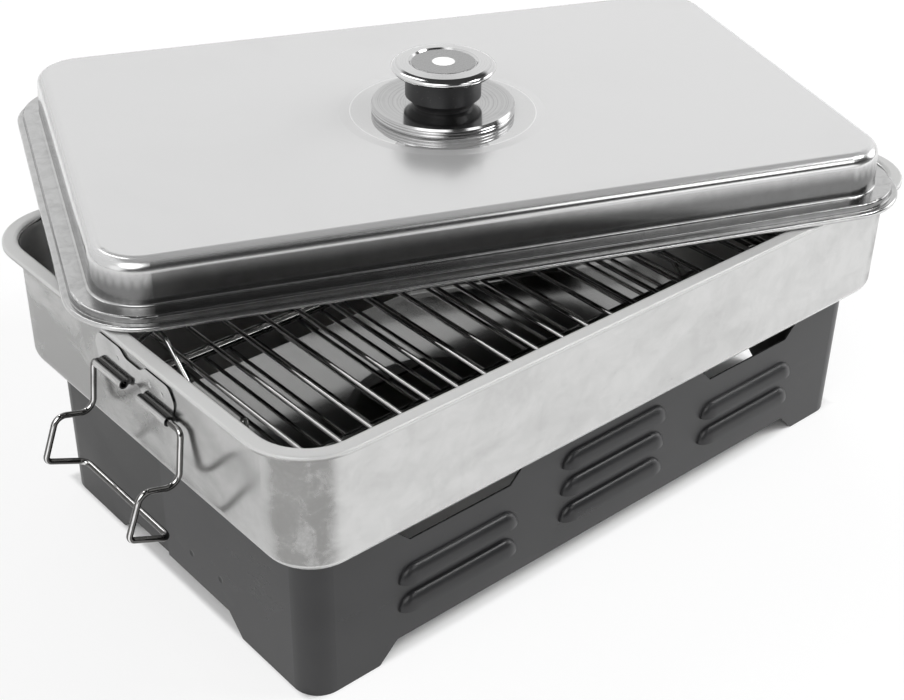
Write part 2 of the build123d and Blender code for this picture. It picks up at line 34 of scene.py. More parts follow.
Colour = tuple[float, float, float]
Pair = tuple[float, float]
Number = Union[float, "Value"]
Triple = Union[Sequence[float], "Arrow"]

WHITE: Colour = (1.0, 1.0, 1.0)
LEVEL = (1.0, 1.0, 0.0)  # keeps the level parts of an arrow and drops its height
X, Y, Z = range(3)


# ---------------------------------------------------------------- shader maths
class Wire:
    """A socket in a node tree, with the graph that it belongs to."""

    def __init__(self, graph: "Graph", socket: bpy.types.NodeSocket) -> None:
        """Keep the graph and the socket."""
        self.graph = graph
        self.socket = socket


class Value(Wire):
    """A number in a node tree. An expression on values adds its Math nodes."""

    def maths(self, operation: str, *others: Number, flip: bool = False) -> "Value":
        """Add a Math node.

        Args:
            operation: The Math node's operation.
            others: The other operands.
            flip: Whether this value comes last instead of first.

        Returns:
            The node's result.
        """
        terms = [*others, self] if flip else [self, *others]
        node = self.graph.add("ShaderNodeMath", {"operation": operation}, dict(enumerate(terms)))
        return Value(self.graph, node.outputs[0])

    def __add__(self, other: Number) -> "Value":
        """Sum."""
        return self.maths("ADD", other)

    __radd__ = __add__

    def __sub__(self, other: Number) -> "Value":
        """Difference."""
        return self.maths("SUBTRACT", other)

    def __rsub__(self, other: Number) -> "Value":
        """Difference, with this value taken away."""
        return self.maths("SUBTRACT", other, flip=True)

    def __mul__(self, other: Number) -> "Value":
        """Product."""
        return self.maths("MULTIPLY", other)

    __rmul__ = __mul__

    def at_most(self, other: Number) -> "Value":
        """The smaller of the two."""
        return self.maths("MINIMUM", other)

    def at_least(self, other: Number) -> "Value":
        """The larger of the two."""
        return self.maths("MAXIMUM", other)

    def size(self) -> "Value":
        """The value without its sign."""
        return self.maths("ABSOLUTE")

    def sine(self) -> "Value":
        """The sine of the value in radians."""
        return self.maths("SINE")

    def ease(self, low: float, high: float, start: float = 0.0, end: float = 1.0) -> "Value":
        """Turn the value smoothly from one number into another.

        Args:
            low: The value at which the turn starts.
            high: The value at which it ends.
            start: The result at low and before.
            end: The result at high and after.

        Returns:
            The eased value.
        """
        settings = {"interpolation_type": "SMOOTHSTEP", "clamp": True}
        inputs = {"Value": self, "From Min": low, "From Max": high, "To Min": start, "To Max": end}
        node = self.graph.add("ShaderNodeMapRange", settings, inputs)
        return Value(self.graph, node.outputs["Result"])

    def fall(self, low: float, high: float) -> "Value":
        """Turn the value smoothly from 1 at low and before into 0 at high and after."""
        return self.ease(low, high, 1.0, 0.0)

    def near(self, middle: float, inner: float, outer: float) -> "Value":
        """Turn the value into 1 within inner of a middle and 0 further away than outer."""
        return (self - middle).size().fall(inner, outer)

    def step(self, low: float, high: float, start: float = 0.0, end: float = 1.0) -> "Value":
        """Turn the value in a straight line from one number into another.

        Args:
            low: The value at which the turn starts.
            high: The value at which it ends.
            start: The result at low and before.
            end: The result at high and after.

        Returns:
            The mapped value.
        """
        inputs = {"Value": self, "From Min": low, "From Max": high, "To Min": start, "To Max": end}
        node = self.graph.add("ShaderNodeMapRange", {"clamp": True}, inputs)
        return Value(self.graph, node.outputs["Result"])


class Arrow(Wire):
    """A vector or a colour in a node tree. An expression on arrows adds its Vector Math nodes."""

    def maths(self, operation: str, *others: Triple | float, flip: bool = False) -> bpy.types.Node:
        """Add a Vector Math node.

        Args:
            operation: The node's operation.
            others: The other operands.
            flip: Whether this arrow comes last instead of first.

        Returns:
            The node.
        """
        terms = [*others, self] if flip else [self, *others]
        return self.graph.add("ShaderNodeVectorMath", {"operation": operation}, dict(enumerate(terms)))

    def __add__(self, other: Triple) -> "Arrow":
        """Sum."""
        return Arrow(self.graph, self.maths("ADD", other).outputs["Vector"])

    __radd__ = __add__

    def __sub__(self, other: Triple) -> "Arrow":
        """Difference."""
        return Arrow(self.graph, self.maths("SUBTRACT", other).outputs["Vector"])

    def __rsub__(self, other: Triple) -> "Arrow":
        """Difference, with this arrow taken away."""
        return Arrow(self.graph, self.maths("SUBTRACT", other, flip=True).outputs["Vector"])

    def __mul__(self, other: Triple) -> "Arrow":
        """Product, part by part."""
        return Arrow(self.graph, self.maths("MULTIPLY", other).outputs["Vector"])

    __rmul__ = __mul__

    def dot(self, other: Triple) -> Value:
        """The share of this arrow along the other."""
        return Value(self.graph, self.maths("DOT_PRODUCT", other).outputs["Value"])

    def length(self) -> Value:
        """How long the arrow is."""
        return Value(self.graph, self.maths("LENGTH").outputs["Value"])

    def sizes(self) -> "Arrow":
        """The arrow with no signs."""
        return Arrow(self.graph, self.maths("ABSOLUTE").outputs["Vector"])

    def at_least(self, other: Triple) -> "Arrow":
        """The larger parts of the two."""
        return Arrow(self.graph, self.maths("MAXIMUM", other).outputs["Vector"])

    def part(self, axis: int) -> Value:
        """One part of the arrow: X, Y or Z."""
        node = self.graph.add("ShaderNodeSeparateXYZ", {}, {0: self})
        return Value(self.graph, node.outputs[axis])


@dataclass(frozen=True)
class Plan:
    """A rounded rectangle, seen from above, in metres and degrees."""

    middle: Pair
    half: Pair
    corner: float
    turn: float = 0.0


@dataclass(frozen=True)
class Clouds:
    """Cloudy noise from 0 to 1.

    The scale is in clouds to the metre. Detail counts the finer layers, rough is their strength, bend pulls
    the clouds out of shape, and stretch below 1 draws them out along X, Y or Z.
    """

    scale: float
    detail: float = 2.0
    rough: float = 0.5
    bend: float = 0.0
    stretch: Sequence[float] | None = None


class Graph:
    """A node tree that is filled from Python expressions."""

    def __init__(self, tree: bpy.types.NodeTree) -> None:
        """Empty the tree and keep it."""
        self.tree = tree
        tree.nodes.clear()

    def add(
        self,
        kind: str,
        settings: Mapping[str, Any] | None = None,
        inputs: Mapping[Any, Any] | None = None,
    ) -> bpy.types.Node:
        """Add a node, set it up and feed its sockets.

        Args:
            kind: The node's type.
            settings: Its properties, set first.
            inputs: Values or wires, by the name or the number of a socket.

        Returns:
            The node.
        """
        node = self.tree.nodes.new(kind)
        for key, setting in (settings or {}).items():
            setattr(node, key, setting)
        for key, given in (inputs or {}).items():
            socket = node.inputs[key]
            if isinstance(given, Wire):
                self.tree.links.new(given.socket, socket)
            elif socket.type == "RGBA":
                socket.default_value = (*given, 1.0) if len(given) == 3 else given
            else:
                socket.default_value = given
        return node

    def place(self) -> Arrow:
        """The point of the surface in metres, in the frame of the object at rest."""
        return Arrow(self, self.add("ShaderNodeTexCoord").outputs["Object"])

    def facing_world(self) -> Arrow:
        """The surface's own normal, as a Normal socket takes it."""
        return Arrow(self, self.add("ShaderNodeNewGeometry").outputs["Normal"])

    def facing(self) -> Arrow:
        """The surface's normal in the frame of the object at rest."""
        return Arrow(self, self.add("ShaderNodeTexCoord").outputs["Normal"])

    def turn(self, reach: Value, height: Value) -> Arrow:
        """A point that is the same all round an axis, from its distance to it and its height."""
        return Arrow(self, self.add("ShaderNodeCombineXYZ", {}, {0: reach, 1: height}).outputs[0])

    def reach(self, at: Arrow, axis: Pair) -> Value:
        """How far a point is from an upright axis, in metres."""
        return ((at - (*axis, 0.0)) * LEVEL).length()

    def past_edge(self, at: Arrow, plan: Plan) -> Value:
        """How far a point lies outside a rounded rectangle, seen from above.

        Args:
            at: The point.
            plan: The rounded rectangle.

        Returns:
            The distance in metres, below 0 inside.
        """
        inputs = {"Vector": at - (*plan.middle, 0.0), "Angle": -math.radians(plan.turn)}
        turned = self.add("ShaderNodeVectorRotate", {"rotation_type": "Z_AXIS"}, inputs)
        straight = (plan.half[X] - plan.corner, plan.half[Y] - plan.corner, 0.0)
        over = (Arrow(self, turned.outputs[0]) * LEVEL).sizes() - straight
        beyond = over.at_least((0.0, 0.0, 0.0)).length()
        return beyond + over.part(X).at_least(over.part(Y)).at_most(0.0) - plan.corner

    def noise(self, where: Arrow, clouds: Clouds) -> Value:
        """Cloudy noise.

        Args:
            where: The point that it is read at.
            clouds: The size and the character of its clouds.

        Returns:
            The noise, from 0 to 1.
        """
        inputs = {
            "Vector": where if clouds.stretch is None else where * clouds.stretch,
            "Scale": clouds.scale,
            "Detail": clouds.detail,
            "Roughness": clouds.rough,
            "Distortion": clouds.bend,
        }
        return Value(self, self.add("ShaderNodeTexNoise", {}, inputs).outputs[0])

    def cells(self, where: Arrow, scale: float) -> Value:
        """Distance to the nearest of many scattered points.

        Args:
            where: The point that it is read at.
            scale: Points in a metre.

        Returns:
            The distance, in cells.
        """
        node = self.add("ShaderNodeTexVoronoi", {}, {"Vector": where, "Scale": scale})
        return Value(self, node.outputs["Distance"])

    def blend(self, share: Number, first: Any, second: Any) -> Arrow:
        """Mix two colours.

        Args:
            share: How much of the second, from 0 to 1.
            first: A colour.
            second: Another colour.

        Returns:
            The mixed colour.
        """
        node = self.add("ShaderNodeMix", {"data_type": "RGBA"}, {"Factor": share, 6: first, 7: second})
        return Arrow(self, node.outputs[2])

    def bump(self, height: Value, depth: float, strength: float = 1.0, under: Arrow | None = None) -> Arrow:
        """A normal that is tilted by a height.

        Args:
            height: The height, from 0 to 1.
            depth: How deep a height of 1 is, in metres.
            strength: How much of the tilt is used.
            under: A normal that is already tilted.

        Returns:
            The tilted normal.
        """
        inputs: dict[Any, Any] = {"Height": height, "Distance": depth, "Strength": strength}
        if under is not None:
            inputs["Normal"] = under
        return Arrow(self, self.add("ShaderNodeBump", {}, inputs).outputs["Normal"])

    def surface(self, glow: Value | None = None, **sockets: Any) -> None:
        """Finish a material's tree with one principled shader.

        Args:
            glow: How much of a plain white glow is mixed in.
            sockets: Values or wires of the shader, with _ for each space in a socket's name.
        """
        inputs = {name.replace("_", " "): given for name, given in sockets.items()}
        shader = self.add("ShaderNodeBsdfPrincipled", {}, inputs)
        if glow is not None:
            white = self.add("ShaderNodeEmission", {}, {"Color": WHITE, "Strength": 1.0})
            mixed = {0: glow, 1: Wire(self, shader.outputs[0]), 2: Wire(self, white.outputs[0])}
            shader = self.add("ShaderNodeMixShader", {}, mixed)
        self.add("ShaderNodeOutputMaterial", {}, {"Surface": Wire(self, shader.outputs[0])})


# ---------------------------------------------------------------- finishes
def new_material(name: str) -> tuple[bpy.types.Material, Graph]:
    """Start a node material.

    Args:
        name: The finish's name.

    Returns:
        The material and its empty graph.
    """
    material = bpy.data.materials.new(name)
    material.use_nodes = True
    return material, Graph(material.node_tree)


@dataclass(frozen=True)
class StandPaint:
    """Black satin heat-proof paint on thin sheet steel."""

    edge: Plan
    colour: Colour = (0.013, 0.013, 0.014)
    worn: Colour = (0.027, 0.027, 0.028)
    # Painted shade: the colour that the inner faces and the lap lines are darkened to.
    painted_shade: Colour = (0.004, 0.004, 0.004)
    roughness: float = 0.31
    blotches: Clouds = Clouds(14.0, 4.0, 0.55, 0.6)
    marks: Clouds = Clouds(55.0, 5.0, 0.7, 1.2, (0.35, 1.0, 2.4))
    dents: Clouds = Clouds(22.0, 1.0, 0.4)
    dent_depth: float = 0.0011
    grain: Clouds = Clouds(2600.0, 2.0, 0.6)
    grain_depth: float = 0.00008
    inner_face: Pair = (-0.0009, -0.0006)
    lap: float = 0.0097
    lap_line: Pair = (0.0004, 0.0008)
    lap_end: Pair = (0.95, 0.97)

    def make(self) -> bpy.types.Material:
        """The paint, with soft blotches, a fine grain, shallow dents, faint rubbed marks and painted shade
        on the inner faces and along the laps.
        """
        material, graph = new_material("stand_paint")
        at = graph.place()
        blotches = graph.noise(at, self.blotches)
        marks = graph.noise(at, self.marks).ease(0.56, 0.74)
        # Painted shade on the inner faces of the sheets, inside the stand.
        shaded_inside = graph.past_edge(at, self.edge).fall(*self.inner_face)
        shade = graph.blend(blotches.ease(0.30, 0.75) * 0.55 + marks * 0.18, self.colour, self.worn)
        rough = blotches.step(0.2, 0.8, self.roughness - 0.06, self.roughness + 0.08)
        dented = graph.bump(graph.noise(at, self.dents), self.dent_depth, 0.25)
        graph.surface(
            Base_Color=graph.blend(shaded_inside.at_least(self.lap_shadow(at)), shade, self.painted_shade),
            Roughness=rough - marks * 0.05,
            Specular_IOR_Level=0.5,
            Normal=graph.bump(graph.noise(at, self.grain), self.grain_depth, 0.35, dented),
        )
        return material

    def lap_shadow(self, at: Arrow) -> Value:
        """A painted shadow: the dark upright line at each end, where one sheet laps over the other.

        Args:
            at: The point of the surface.

        Returns:
            1 on the line and 0 off it.
        """
        across = at - (*self.edge.middle, 0.0)
        share = across.part(X) * (-1.0 / self.edge.half[X])
        return (across.part(Y) * share).near(self.lap, *self.lap_line) * share.size().ease(*self.lap_end)


@dataclass(frozen=True)
class TraySteel:
    """Stainless sheet of the smoke tray: cloudy satin with a polished floor."""

    wall: Plan
    floor: float
    rim: float
    clear: Colour = (0.66, 0.66, 0.655)
    # Colour of the random clouds, and of the painted shade at the corners and on the end walls.
    dull: Colour = (0.29, 0.288, 0.283)
    rim_colour: Colour = (0.60, 0.60, 0.595)
    inner_colour: Colour = (0.80, 0.80, 0.795)
    # Painted shade: the colour of the shadow line under the rim's hem.
    crevice_shade: Colour = (0.16, 0.155, 0.15)
    wall_roughness: Pair = (0.14, 0.29)
    floor_roughness: float = 0.015
    rim_roughness: float = 0.42
    inner_roughness: float = 0.34
    floor_face: Pair = (0.0012, 0.0022)
    floor_edge: Pair = (-0.006, -0.004)
    rim_face: Pair = (-0.0016, -0.0006)
    rim_start: Pair = (0.0, 0.0012)
    inner_face: Pair = (-0.0006, -0.0003)
    hem: float = 0.0026
    hem_line: Pair = (0.0002, 0.0007)
    hem_place: float = 0.0078
    hem_reach: float = 0.0016
    corner_turn: Pair = (0.06, 0.40)
    # Painted shade on the end walls that face -X: where it starts, and how it fades towards the front.
    end_shade_turn: Pair = (0.5, 0.95)
    end_shade_front: Pair = (-0.17, 0.0)
    clouds: Clouds = Clouds(30.0, 5.0, 0.62, 0.5, (0.6, 0.6, 1.0))
    patches: Clouds = Clouds(75.0, 4.0, 0.6, 0.8)
    patch_shift: tuple[float, float, float] = (0.31, 0.17, 0.05)
    drawn: Clouds = Clouds(900.0, 2.0, 0.5, 0.0, (1.0, 1.0, 0.08))
    grain: Clouds = Clouds(420.0, 4.0, 0.7)
    grain_depth: float = 0.00003
    ripple: Clouds = Clouds(20.0, 1.0, 0.4)
    ripple_depth: float = 0.0009
    pits: float = 170.0

    def make(self) -> bpy.types.Material:
        """The sheet, with hand-sized clouds, drawing marks and pits, painted shade at the drawn corners and
        on the end walls that face -X, and a painted shadow line under the rim.
        """
        material, graph = new_material("tray_steel")
        at, facing = graph.place(), graph.facing()
        height, past = at.part(Z), graph.past_edge(at, self.wall)
        floor = (height - self.floor).fall(*self.floor_face) * facing.part(Z).ease(0.2, 0.6)
        floor = floor * past.fall(*self.floor_edge)
        rim = (height - self.rim).ease(*self.rim_face) * past.ease(*self.rim_start)
        inner = past.fall(*self.inner_face) * (1.0 - floor)
        # Painted shadow: a dark line on the outer wall just under the rim's hem.
        painted_line = (height - self.rim).near(-self.hem, *self.hem_line)
        painted_line = painted_line * past.near(self.hem_place, 0.0, self.hem_reach)

        clouds = graph.noise(at, self.clouds)
        patches = graph.noise(at + self.patch_shift, self.patches)
        grain = graph.noise(at, self.grain)
        pits = graph.cells(at, self.pits).fall(0.05, 0.14) * patches.ease(0.55, 0.7)
        corner = (facing.part(X) * facing.part(Y)).size().ease(*self.corner_turn)
        # The drawn corners are duller and marked, and their darker colour is also a painted dark reflection.
        corner_haze_and_shade = corner * (grain * 0.6 + patches.ease(0.3, 0.7) * 0.5 + 0.25)
        # Painted shade: the end walls that face -X are darkened, less so towards the front.
        end = (facing.part(X) * -1.0).ease(*self.end_shade_turn) * (1.0 - at.part(Y).fall(*self.end_shade_front) * 0.8)
        # The haze holds the random clouds plus the painted shade of the corners and the -X end walls. It
        # darkens the colour and raises the roughness.
        haze = clouds.ease(0.36, 0.72) * 0.26 + patches.ease(0.35, 0.7) * 0.14 + corner_haze_and_shade * 0.95
        haze = (haze + end * (clouds.ease(0.3, 0.6) * 0.5 + 0.45)).at_most(1.0)

        cloudy = (haze * 0.75 + corner_haze_and_shade * 0.25).at_most(1.0) * (1.0 - rim) + pits * 0.2
        shade = graph.blend(cloudy, self.clear, self.dull)
        shade = graph.blend(rim * 0.8, shade, self.rim_colour)
        shade = graph.blend(inner * 0.6, shade, self.inner_colour)
        rough = haze.step(0.0, 1.0, *self.wall_roughness) * (1.0 - rim) + self.rim_roughness * rim
        rough = rough * (1.0 - inner) + self.inner_roughness * inner
        ripple = graph.bump(graph.noise(at, self.ripple), self.ripple_depth, 0.30)
        marks = graph.noise(at, self.drawn) * (1.0 - corner) + grain * corner * 1.5
        relief = graph.bump(marks, self.grain_depth, 0.5, ripple)
        graph.surface(
            Base_Color=graph.blend(painted_line * 0.8, shade, self.crevice_shade),
            Metallic=1.0 - rim * 0.55 - inner * 0.35,
            Roughness=rough * (1.0 - floor) + self.floor_roughness * floor,
            Normal=graph.blend(floor, relief, graph.facing_world()),
        )
        return material


@dataclass(frozen=True)
class LidSteel:
    """Stainless sheet of the lid."""

    edge: Plan
    axis: Pair
    pad_radius: float
    top: float
    dome_inset: float
    step_inset: float
    colour: Colour = (0.68, 0.68, 0.68)
    dull: Colour = (0.42, 0.42, 0.415)
    # Painted shade for the creases.
    crevice_shade: Colour = (0.10, 0.10, 0.10)
    # Colour of the painted highlight ring round the pad.
    ring_highlight: Colour = (0.95, 0.95, 0.95)
    shaded: Colour = (0.36, 0.36, 0.358)
    pad_roughness: float = 0.02
    top_roughness: float = 0.17
    wall_roughness: float = 0.17
    top_bend: Pair = (-0.0030, -0.0006)
    ledge_start: Pair = (-0.0010, 0.0)
    pad_edge: Pair = (-0.0003, 0.0007)
    pad_line: Pair = (0.0002, 0.0005)
    dome_crease: Pair = (0.0001, 0.0007)
    step_crease: Pair = (0.0001, 0.0006)
    haze: Clouds = Clouds(9.0, 4.0, 0.55, 0.8)
    smears: Clouds = Clouds(24.0, 5.0, 0.65, 0.6, (0.6, 1.0, 1.2))
    mottle: Clouds = Clouds(130.0, 4.0, 0.65, 0.6)
    buffed: Clouds = Clouds(1500.0, 3.0, 0.6)
    buff_depth: float = 0.000004
    waves: Clouds = Clouds(11.0, 1.0, 0.35)
    wave_depth: float = 0.0007

    def make(self) -> bpy.types.Material:
        """The sheet: an even satin top, a bright pad round the knob ringed by a painted highlight, smeared
        walls, and painted shade in the creases and on the underside.
        """
        material, graph = new_material("lid_steel")
        at = graph.place()
        upward = graph.facing().part(Z)
        past = graph.past_edge(at, self.edge)
        reach = graph.reach(at, self.axis) - self.pad_radius
        ledge = (past + self.dome_inset).ease(*self.ledge_start)
        wall = (at.part(Z) - self.top).fall(*self.top_bend) * (1.0 - ledge)
        sides = wall.at_least(ledge)
        under = upward.fall(-0.6, -0.2)
        satin = reach.ease(*self.pad_edge)
        # Painted highlight: a thin bright ring on top, along the edge of the pad.
        ring = reach.size().fall(*self.pad_line) * upward.ease(0.5, 0.8)
        # Painted shade: dark lines in the creases at the foot of the dome and at the step.
        crease_shade = past.near(-self.dome_inset, *self.dome_crease)
        crease_shade = crease_shade.at_least(past.near(-self.step_inset, *self.step_crease) * 0.9)

        haze = graph.noise(at, self.haze)
        smears = graph.noise(at, self.smears).ease(0.40, 0.75)
        mottle = graph.noise(at, self.mottle).ease(0.35, 0.75)
        worn = haze.ease(0.45, 0.85) * 0.08 + smears * wall * 0.30 + (mottle * 0.40 + 0.20) * ledge
        shade = graph.blend(worn.at_most(1.0), self.colour, self.dull)
        shade = graph.blend(crease_shade * 0.85, shade, self.crevice_shade)
        shade = graph.blend(ring * 0.5, shade, self.ring_highlight)
        rough = satin * (self.top_roughness - self.pad_roughness) + haze * satin * 0.03 + self.pad_roughness
        waves = graph.bump(graph.noise(at, self.waves), self.wave_depth, 0.08)
        graph.surface(
            Base_Color=graph.blend(under, shade, self.shaded),
            Metallic=1.0 - (satin * 0.15 + 0.25) * (1.0 - sides) * (1.0 - under),
            Roughness=rough * (1.0 - sides) + (smears * 0.04 + self.wall_roughness) * sides,
            Normal=graph.bump(graph.noise(at, self.buffed), self.buff_depth, 0.35, waves),
        )
        return material


@dataclass(frozen=True)
class SpunSteel:
    """Turned steel of the knob, with rings round its axis."""

    name: str
    axis: Pair
    colour: Colour = (0.78, 0.78, 0.78)
    dull: Colour = (0.60, 0.60, 0.60)
    roughness: float = 0.16
    rings: float = 9000.0
    depth: float = 0.00002
    uneven: Clouds = Clouds(420.0, 3.0, 0.5)
    bands: Clouds = Clouds(1300.0, 3.0, 0.7)
    haze: Clouds = Clouds(60.0, 3.0, 0.55)

    def make(self) -> bpy.types.Material:
        """The metal, with fine turned rings and uneven gloss."""
        material, graph = new_material(self.name)
        at = graph.place()
        reach, height = graph.reach(at, self.axis), at.part(Z)
        turned = reach * self.rings + height * self.rings * 1.4 + graph.noise(at, self.uneven) * 2.0
        bands = graph.noise(graph.turn(reach, height), self.bands)
        share = bands.ease(0.4, 0.75) * 0.7 + graph.noise(at, self.haze).ease(0.5, 0.8) * 0.3
        graph.surface(
            Base_Color=graph.blend(share, self.colour, self.dull),
            Metallic=1.0,
            Roughness=bands.step(0.3, 0.8, self.roughness - 0.04, self.roughness + 0.12),
            Normal=graph.bump(turned.sine() * 0.5 + 0.5, self.depth, 0.4),
        )
        return material


@dataclass(frozen=True)
class MedallionSteel:
    """Grey disc in the knob's top, with a plain white spot in its middle that is a painted highlight."""

    axis: Pair
    glint_radius: float = 0.0058
    glint_edge: Pair = (0.0, 0.0004)
    glint_ring: Pair = (0.0002, 0.0007)
    colour: Colour = (0.46, 0.46, 0.46)
    pale: Colour = (0.52, 0.52, 0.52)
    # Colours of the white spot, a painted highlight.
    white: Colour = (0.86, 0.86, 0.85)
    glint_grey: Colour = (0.62, 0.62, 0.61)
    brushed: Clouds = Clouds(2600.0, 2.0, 0.6, 0.0, (0.1, 1.0, 1.0))
    specks: Clouds = Clouds(500.0, 3.0, 0.6)
    depth: float = 0.00012

    def make(self) -> bpy.types.Material:
        """The brushed disc and the white spot in its middle, a painted highlight with a raised ring round
        it.
        """
        material, graph = new_material("knob_medallion")
        at = graph.place()
        reach = graph.reach(at, self.axis) - self.glint_radius
        # Painted highlight: the white spot in the middle, flecked a little greyer, with a raised ring round
        # it.
        glint, ring = reach.fall(*self.glint_edge), reach.size().fall(*self.glint_ring)
        brushed = graph.noise(at, self.brushed)
        ground = graph.blend(brushed.ease(0.3, 0.8), self.colour, self.pale)
        glint_colour = graph.blend(graph.noise(at, self.specks).ease(0.5, 0.9) * 0.3, self.white, self.glint_grey)
        graph.surface(
            Base_Color=graph.blend(glint, ground, glint_colour),
            Metallic=1.0 - glint,
            Roughness=brushed.step(0.2, 0.8, 0.22, 0.38),
            Normal=graph.bump(ring + brushed * 0.1, self.depth, 0.6),
        )
        return material


@dataclass(frozen=True)
class PlatedWire:
    """Bright-plated round wire."""

    name: str
    colour: Colour = (0.74, 0.735, 0.73)
    dull: Colour = (0.50, 0.495, 0.49)
    roughness: float = 0.10
    haze: float = 0.14
    # Colour of a painted highlight line along the wire, if any.
    crown: Colour | None = None
    highlight_side: tuple[float, float, float] = (0.75, -0.66, 0.0)
    highlight_edge: Pair = (0.14, 0.32)
    stretches: Clouds = Clouds(85.0, 4.0, 0.6)
    waves: Clouds = Clouds(260.0, 2.0, 0.5)
    wave_depth: float = 0.00016

    def make(self) -> bpy.types.Material:
        """The plating, a little wavy, with dull stretches and, where asked for, a painted highlight: a
        bright line along one side of the wire.
        """
        material, graph = new_material(self.name)
        at = graph.place()
        dull = graph.noise(at, self.stretches).ease(0.48, 0.78)
        waves = graph.noise(at, self.waves)
        shade = graph.blend(dull * 0.8, self.colour, self.dull)
        if self.crown is not None:
            # Painted highlight: a bright line where the wire's side faces one given direction.
            painted_line = (graph.facing().dot(self.highlight_side) + waves * 0.1).size().fall(*self.highlight_edge)
            shade = graph.blend(painted_line * (1.0 - dull * 0.4), shade, self.crown)
        graph.surface(
            Base_Color=shade,
            Metallic=1.0,
            Roughness=dull * self.haze + self.roughness,
            Normal=graph.bump(waves, self.wave_depth, 0.3),
        )
        return material


@dataclass(frozen=True)
class SheetSteel:
    """Plain bright sheet of the small pressed parts."""

    name: str
    colour: Colour = (0.76, 0.76, 0.755)
    dull: Colour = (0.58, 0.575, 0.57)
    roughness: float = 0.17
    haze: float = 0.10
    relief: float = 0.00002
    ripple: float = 0.0003
    # Colour of painted shade on the faces that turn away from X, if any.
    edge: Colour | None = None
    edge_shade_turn: Pair = (0.35, 0.80)
    clouds: Clouds = Clouds(48.0, 4.0, 0.6, 0.8)
    rolled: Clouds = Clouds(1300.0, 3.0, 0.6, 0.0, (1.0, 0.12, 1.0))
    waves: Clouds = Clouds(60.0, 1.0, 0.4)

    def make(self) -> bpy.types.Material:
        """The sheet, with rolling streaks, a soft haze and, where asked for, painted shade on the faces that
        turn away from X.
        """
        material, graph = new_material(self.name)
        at = graph.place()
        haze = graph.noise(at, self.clouds)
        rolled = graph.noise(at, self.rolled)
        ripple = graph.bump(graph.noise(at, self.waves), self.ripple, 0.25)
        shade = graph.blend(haze.ease(0.35, 0.75) * 0.6 + rolled * 0.2, self.colour, self.dull)
        if self.edge is not None:
            # Painted shade: darker on the faces that turn away from X, such as edges and the sides of
            # barrels.
            shade = graph.blend(graph.facing().part(X).size().ease(*self.edge_shade_turn), self.edge, shade)
        graph.surface(
            Base_Color=shade,
            Metallic=1.0,
            Roughness=haze.step(0.25, 0.8, self.roughness, self.roughness + self.haze),
            Normal=graph.bump(rolled, self.relief, 0.4, ripple),
        )
        return material


@dataclass(frozen=True)
class KnobMoulding:
    """Black phenolic moulding of the knob's neck."""

    colour: Colour = (0.014, 0.014, 0.015)
    dust: Colour = (0.16, 0.155, 0.15)
    grain: Clouds = Clouds(1500.0, 3.0, 0.6)
    grain_depth: float = 0.00006
    dusty: Clouds = Clouds(260.0)
    specks: float = 900.0

    def make(self) -> bpy.types.Material:
        """The moulding, with a fine grain and grey dust on it."""
        material, graph = new_material("knob_moulding")
        at = graph.place()
        grain = graph.noise(at, self.grain)
        specks = graph.cells(at, self.specks).fall(0.12, 0.22) * graph.noise(at, self.dusty).ease(0.45, 0.65)
        graph.surface(
            Base_Color=graph.blend(specks * 0.7 + grain.ease(0.55, 0.9) * 0.12, self.colour, self.dust),
            Roughness=grain.step(0.2, 0.8, 0.26, 0.46),
            Specular_IOR_Level=0.5,
            Normal=graph.bump(grain, self.grain_depth, 0.5),
        )
        return material


@dataclass(frozen=True)
class FibreWad:
    """White mineral-fibre wad of a burner."""

    colour: Colour = (0.80, 0.78, 0.72)
    scorched: Colour = (0.42, 0.38, 0.32)
    along: Clouds = Clouds(1400.0, 3.0, 0.7, 0.6, (0.2, 1.0, 1.0))
    across: Clouds = Clouds(1400.0, 3.0, 0.7, 0.6, (1.0, 0.2, 1.0))
    burnt: Clouds = Clouds(60.0, 4.0, 0.6)
    depth: float = 0.0004

    def make(self) -> bpy.types.Material:
        """The wad, with crossed fibres and a few scorched patches."""
        material, graph = new_material("fibre_wad")
        at = graph.place()
        along, across = graph.noise(at, self.along), graph.noise(at, self.across)
        burnt = graph.noise(at, self.burnt).ease(0.6, 0.8)
        graph.surface(
            Base_Color=graph.blend(burnt * 0.6 + along * across * 0.5, self.colour, self.scorched),
            Roughness=along.step(0.0, 1.0, 0.8, 1.0),
            Normal=graph.bump(along.at_least(across), self.depth, 0.8),
        )
        return material


@dataclass(frozen=True)
class WireCloth:
    """Fine woven wire cloth over a burner's wad."""

    colour: Colour = (0.62, 0.61, 0.59)
    # Colour of the painted shade between the wires.
    gap_shade: Colour = (0.06, 0.058, 0.055)
    wires: float = 1250.0
    stain: Clouds = Clouds(70.0, 3.0, 0.6)
    depth: float = 0.0004

    def make(self) -> bpy.types.Material:
        """The weave: two sets of round wires that pass over and under each other, with painted shade in the
        gaps between them.
        """
        material, graph = new_material("wire_cloth")
        at = graph.place()
        warp = (at.part(X) * self.wires * math.pi).sine()
        weft = (at.part(Y) * self.wires * math.pi).sine()
        over = (warp * weft).ease(-0.4, 0.4)
        height = warp * warp * over + weft * weft * (1.0 - over)
        stain = graph.noise(at, self.stain).ease(0.5, 0.8)
        graph.surface(
            # Painted shade between the wires, plus real stains, both towards the dark colour.
            Base_Color=graph.blend(height.fall(0.15, 0.6) * 0.8 + stain * 0.2, self.colour, self.gap_shade),
            Metallic=height.ease(0.1, 0.4),
            Roughness=stain * 0.2 + 0.3,
            Normal=graph.bump(height, self.depth, 0.8),
        )
        return material


